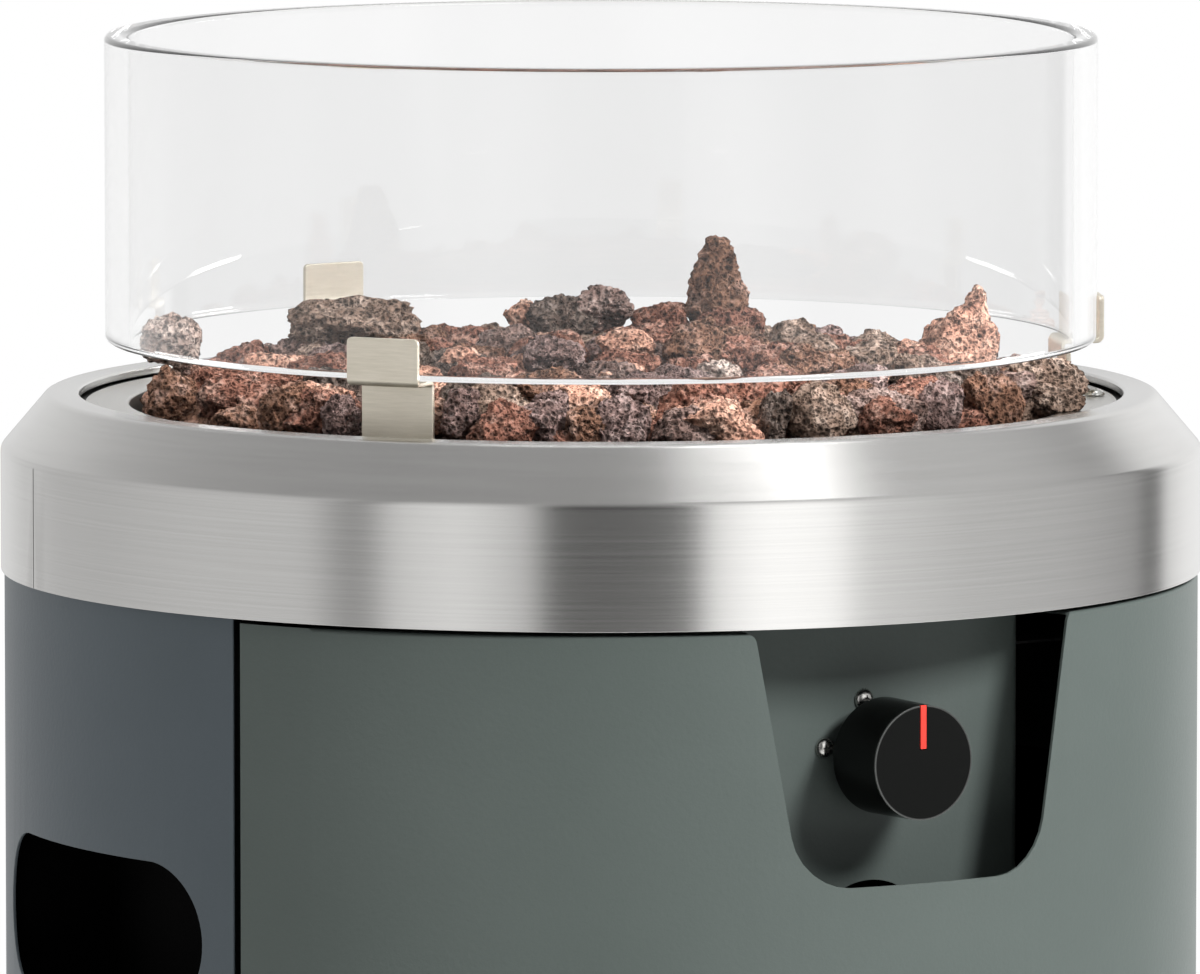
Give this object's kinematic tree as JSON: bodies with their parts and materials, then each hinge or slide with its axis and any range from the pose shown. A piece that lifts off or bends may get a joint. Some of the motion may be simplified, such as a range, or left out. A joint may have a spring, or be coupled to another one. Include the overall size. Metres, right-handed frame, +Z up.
{
  "type": "gas patio heater",
  "caption": "Round sheet steel gas heater with a door over the bottle bay, a control knob, a fire bowl of lava rock and a wide glass guard on bent strip brackets.",
  "frame": {"origin": "centre of the round foot print, on the floor", "axes": "+Z up along the drum's axis, -Y out of the front with the door and the knob, +X to the right when the front is seen along +Y"},
  "size_m": [0.48, 0.48, 0.7332],
  "materials": {
    "powder_grey": "fine textured powder coat, slate grey",
    "black_metal": "matt black heat-resistant paint",
    "brushed_steel": "stainless steel brushed round the axis",
    "bright_steel": "bright plated or polished steel",
    "black_plastic": "satin black, moulded",
    "red_plastic": "bright red inlay",
    "rubber": "matt",
    "brass": "machined",
    "copper": "bent copper pipe, slightly dull",
    "ceramic": "glazed ceramic",
    "glass": "clear, ground edges",
    "lava_rock": "rough porous volcanic rock, red brown to grey"
  },
  "bodies": {
    "root": {"air_shutter": "bright_steel", "base_plate": "black_metal", "bottle_ring": "black_metal", "bracket_rivet_1": "bright_steel", "bracket_rivet_2": "bright_steel", "bracket_rivet_3": "bright_steel", "burner_pan": "brushed_steel", "burner_ring": "bright_steel", "casing_shell": "powder_grey", "control_panel": "powder_grey", "feed_pipe": "copper", "foot_1": "rubber", "foot_2": "rubber", "foot_3": "rubber", "foot_4": "rubber", "guard_bracket_1": "brushed_steel", "guard_bracket_2": "brushed_steel", "guard_bracket_3": "brushed_steel", "hand_cup_left": "black_plastic", "hand_cup_right": "black_plastic", "heat_shield": "black_metal", "hinge_bracket_lower": "black_metal", "hinge_bracket_upper": "black_metal", "igniter_electrode": "ceramic", "injector": "brass", "lava_bed": "lava_rock", "magnet_catch": "black_plastic", "mixer_nut": "bright_steel", "mixer_tube": "bright_steel", "pan_screw_1": "bright_steel", "pan_screw_2": "bright_steel", "pan_screw_3": "bright_steel", "post_left": "black_metal", "post_right": "black_metal", "sensor_bracket": "bright_steel", "steel_ring": "brushed_steel", "thermocouple": "copper", "top_deck": "black_metal", "valve_body": "brass", "valve_bonnet": "bright_steel", "valve_inlet": "brass", "valve_screw_1": "bright_steel", "valve_screw_2": "bright_steel", "valve_spring": "bright_steel"},
    "door": {"door_panel": "powder_grey", "hinge_pin_upper": "bright_steel", "hinge_pin_lower": "bright_steel"},
    "guard": {"glass_guard": "glass"},
    "valve_push": {"spring_cup": "bright_steel"},
    "knob": {"knob": "black_plastic", "knob_pointer": "red_plastic", "valve_stem": "bright_steel"}
  },
  "joints": [
    {"name": "door_swing", "type": "hinge", "parent": "root", "child": "door", "pos_m": [0.21334, -0.09267, 0.28], "axis": [0, 0, 1], "range_deg": [0, 100]},
    {"name": "guard_lift", "type": "slide", "parent": "root", "child": "guard", "axis": [0, 0, 1], "range_m": [0, 0.06]},
    {"name": "knob_push", "type": "slide", "parent": "root", "child": "valve_push", "axis": [0, 1, 0], "range_m": [0, 0.003], "stiffness_N_per_m": 1500, "springref_m": -0.004, "deforming": ["valve_spring"]},
    {"name": "knob_turn", "type": "hinge", "parent": "valve_push", "child": "knob", "pos_m": [0, -0.235, 0.4648], "axis": [0, -1, 0], "range_deg": [0, 210]}
  ]
}
